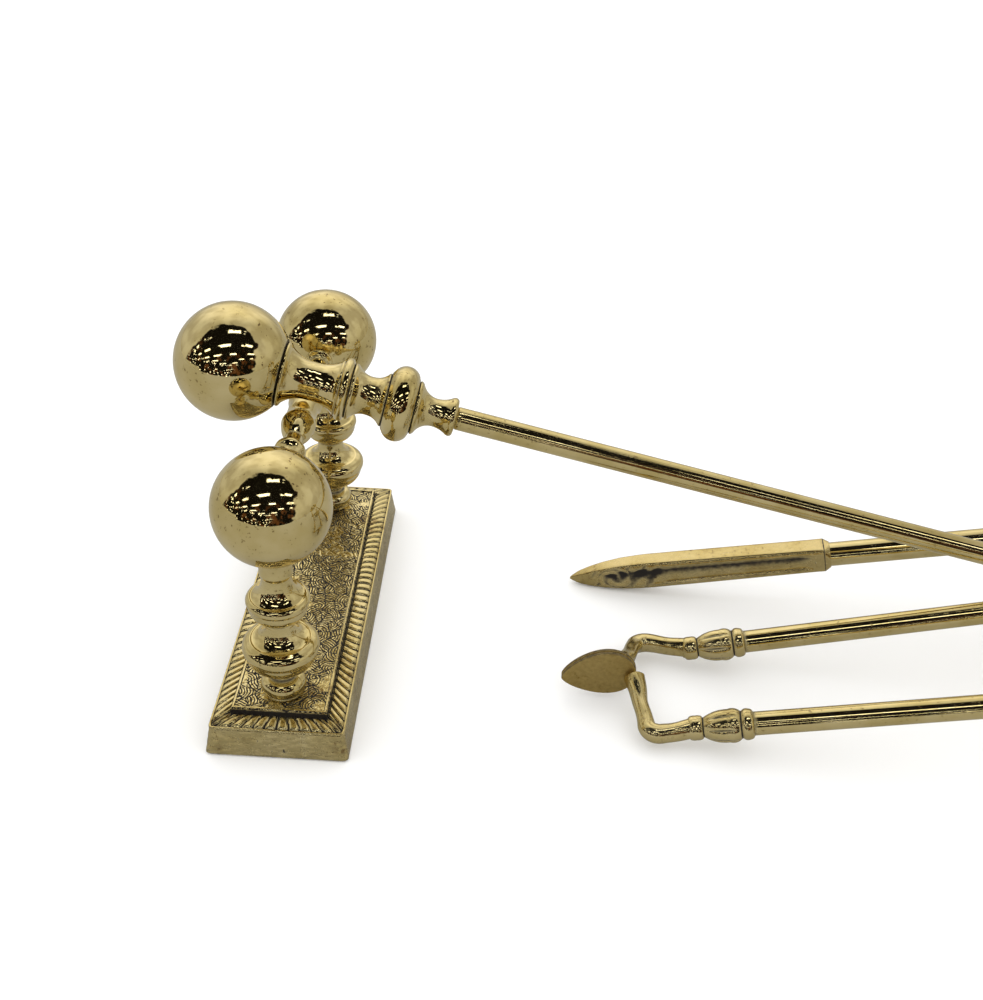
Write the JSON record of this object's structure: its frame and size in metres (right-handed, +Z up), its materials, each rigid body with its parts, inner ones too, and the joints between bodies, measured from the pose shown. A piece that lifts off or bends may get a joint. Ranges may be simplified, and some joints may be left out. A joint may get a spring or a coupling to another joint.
{
  "type": "fireplace tool set",
  "caption": "Brass hearth companion set: a pair of ball-topped fire dogs on relief base plates carrying a shovel, poker and claw tongs laid across their crossbars.",
  "frame": {"origin": "middle of the whole set's footprint, on the hearth", "axes": "+X from the left dog to the right dog, along the tools; +Y along the dogs, to the rear; +Z up"},
  "size_m": [0.8142, 0.2336, 0.1716],
  "materials": {
    "antiqued_cast_brass": "cast in relief, oxidised dark ground with rubbed bright tips",
    "cast_brass": "cast, hand finished, dark in the hollows",
    "drawn_brass": "drawn and polished, fine lengthwise marks",
    "polished_brass": "turned and mirror polished, dark wax left in the grooves",
    "sheet_brass": "rolled sheet, polished, fine scratches",
    "steel_fixings": "plain steel with a dull grey finish",
    "worn_brass": "filed flat, dull and slightly brown"
  },
  "bodies": {
    "fire_dogs": {"left_base_plate": "antiqued_cast_brass", "left_crossbar": "polished_brass", "left_crossbar_studs": "steel_fixings", "left_front_ball": "polished_brass", "left_front_column": "polished_brass", "left_nuts": "steel_fixings", "left_rear_ball": "polished_brass", "left_rear_column": "polished_brass", "left_tie_rods": "steel_fixings", "left_washers": "steel_fixings", "right_base_plate": "antiqued_cast_brass", "right_crossbar": "polished_brass", "right_crossbar_studs": "steel_fixings", "right_front_ball": "polished_brass", "right_front_column": "polished_brass", "right_nuts": "steel_fixings", "right_rear_ball": "polished_brass", "right_rear_column": "polished_brass", "right_tie_rods": "steel_fixings", "right_washers": "steel_fixings"},
    "shovel": {"shovel_ball": "polished_brass", "shovel_end_collar": "polished_brass", "shovel_handle_stud": "steel_fixings", "shovel_knop": "polished_brass", "shovel_pan": "sheet_brass", "shovel_rivets": "polished_brass", "shovel_shaft": "drawn_brass", "shovel_socket": "cast_brass", "shovel_spool": "polished_brass", "shovel_vase": "polished_brass"},
    "poker": {"poker_ball": "polished_brass", "poker_end_collar": "polished_brass", "poker_handle_stud": "steel_fixings", "poker_knop": "polished_brass", "poker_point": "polished_brass", "poker_shaft": "drawn_brass", "poker_spool": "polished_brass", "poker_vase": "polished_brass"},
    "tongs": {"tongs_ball": "polished_brass", "tongs_end_collar": "polished_brass", "tongs_fixed_arm": "drawn_brass", "tongs_fixed_claw": "cast_brass", "tongs_fixed_pad": "worn_brass", "tongs_handle_stud": "steel_fixings", "tongs_head": "cast_brass", "tongs_knop": "polished_brass", "tongs_rivet": "polished_brass", "tongs_shaft": "drawn_brass", "tongs_spool": "polished_brass", "tongs_vase": "polished_brass"},
    "tongs_near_arm": {"tongs_moving_arm": "drawn_brass", "tongs_moving_claw": "cast_brass", "tongs_moving_pad": "worn_brass"}
  },
  "joints": [
    {"name": "shovel_lift", "type": "slide", "parent": "fire_dogs", "child": "shovel", "axis": [0, 0, 1], "range_m": [0, 0.025]},
    {"name": "poker_lift", "type": "slide", "parent": "fire_dogs", "child": "poker", "axis": [0, 0, 1], "range_m": [0, 0.06]},
    {"name": "tongs_lift", "type": "slide", "parent": "fire_dogs", "child": "tongs", "axis": [0, 0, 1], "range_m": [0, 0.06]},
    {"name": "tongs_open", "type": "hinge", "parent": "tongs", "child": "tongs_near_arm", "pos_m": [0.23366, -0.04753, 0.10839], "axis": [-0.2403, 0, 0.9707], "range_deg": [0, 20]}
  ]
}
